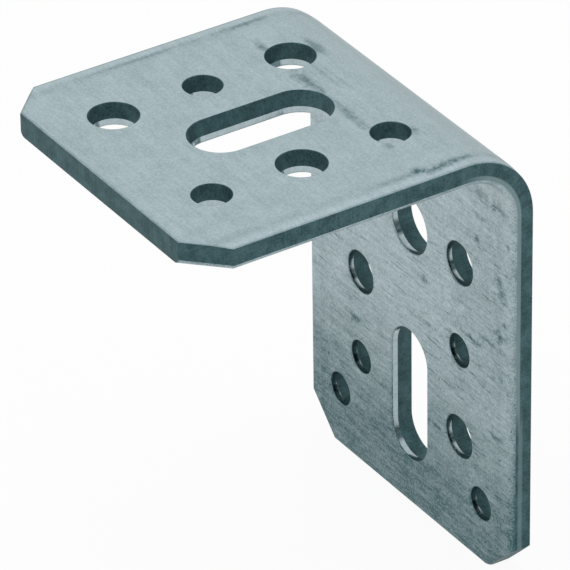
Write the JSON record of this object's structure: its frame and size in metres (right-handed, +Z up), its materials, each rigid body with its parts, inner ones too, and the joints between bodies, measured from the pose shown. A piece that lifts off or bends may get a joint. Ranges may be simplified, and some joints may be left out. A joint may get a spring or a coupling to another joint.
{
  "type": "angle bracket",
  "caption": "Zinc-coated angle bracket bent from one thick steel strip, with unequal legs, cut corners, a slot in each leg, a bolt hole and staggered nail and screw holes.",
  "frame": {"origin": "centre of the bolt hole on the upright's back face", "axes": "+X across the strip, +Y out of the wall along the top leg, +Z up the upright"},
  "size_m": [0.05, 0.0527, 0.07],
  "materials": {
    "zinc_coated_steel": "zinc-coated and satin, with fine rolling streaks across the strip"
  },
  "bodies": {
    "root": {"angle_bracket": "zinc_coated_steel"}
  },
  "joints": []
}
